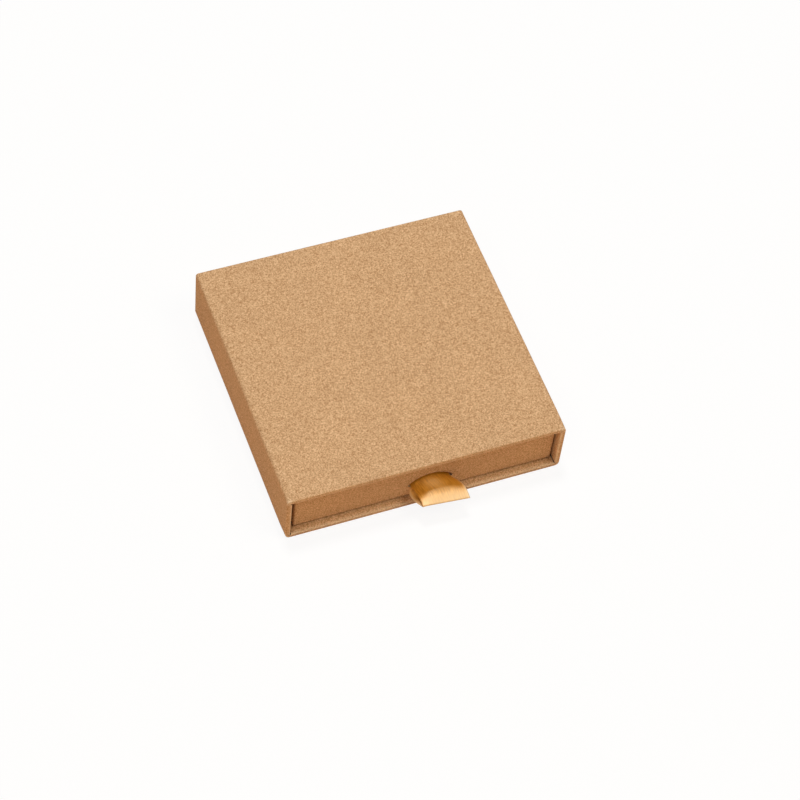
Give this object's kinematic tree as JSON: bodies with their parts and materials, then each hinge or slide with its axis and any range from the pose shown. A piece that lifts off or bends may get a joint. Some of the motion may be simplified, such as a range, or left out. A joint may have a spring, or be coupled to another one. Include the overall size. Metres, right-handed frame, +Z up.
{
  "type": "sliding drawer gift box",
  "caption": "Flat square gift box of kraft-wrapped greyboard: a sleeve open at the front and a shallow drawer pulled out by a folded satin ribbon loop.",
  "frame": {"origin": "centre of the sleeve's flat underside", "axes": "+X to the right seen from the front, +Y from the open front to the closed back, +Z up; the drawer comes out along -Y"},
  "size_m": [0.09, 0.0985, 0.02],
  "materials": {
    "kraft_paper": "matte",
    "greyboard": "matte",
    "stay_tape": "matte",
    "satin_ribbon": "satin"
  },
  "bodies": {
    "sleeve": {"sleeve_top_board": "greyboard", "sleeve_bottom_board": "greyboard", "sleeve_left_board": "greyboard", "sleeve_right_board": "greyboard", "sleeve_back_board": "greyboard", "sleeve_seam_tape": "stay_tape", "sleeve_back_tape_top": "stay_tape", "sleeve_back_tape_bottom": "stay_tape", "sleeve_back_tape_left": "stay_tape", "sleeve_back_tape_right": "stay_tape", "sleeve_wrap": "kraft_paper", "sleeve_back_sheet": "kraft_paper", "sleeve_liner": "kraft_paper", "sleeve_back_liner": "kraft_paper"},
    "drawer": {"drawer_base_board": "greyboard", "drawer_front_board": "greyboard", "drawer_back_board": "greyboard", "drawer_left_board": "greyboard", "drawer_right_board": "greyboard", "drawer_tape_front_left": "stay_tape", "drawer_tape_front_right": "stay_tape", "drawer_tape_back_left": "stay_tape", "drawer_tape_back_right": "stay_tape", "drawer_wrap": "kraft_paper", "drawer_floor_liner": "kraft_paper", "ribbon_pull": "satin_ribbon"}
  },
  "joints": [
    {"name": "drawer_slide", "type": "slide", "parent": "sleeve", "child": "drawer", "axis": [0, -1, 0], "range_m": [0, 0.088]}
  ]
}
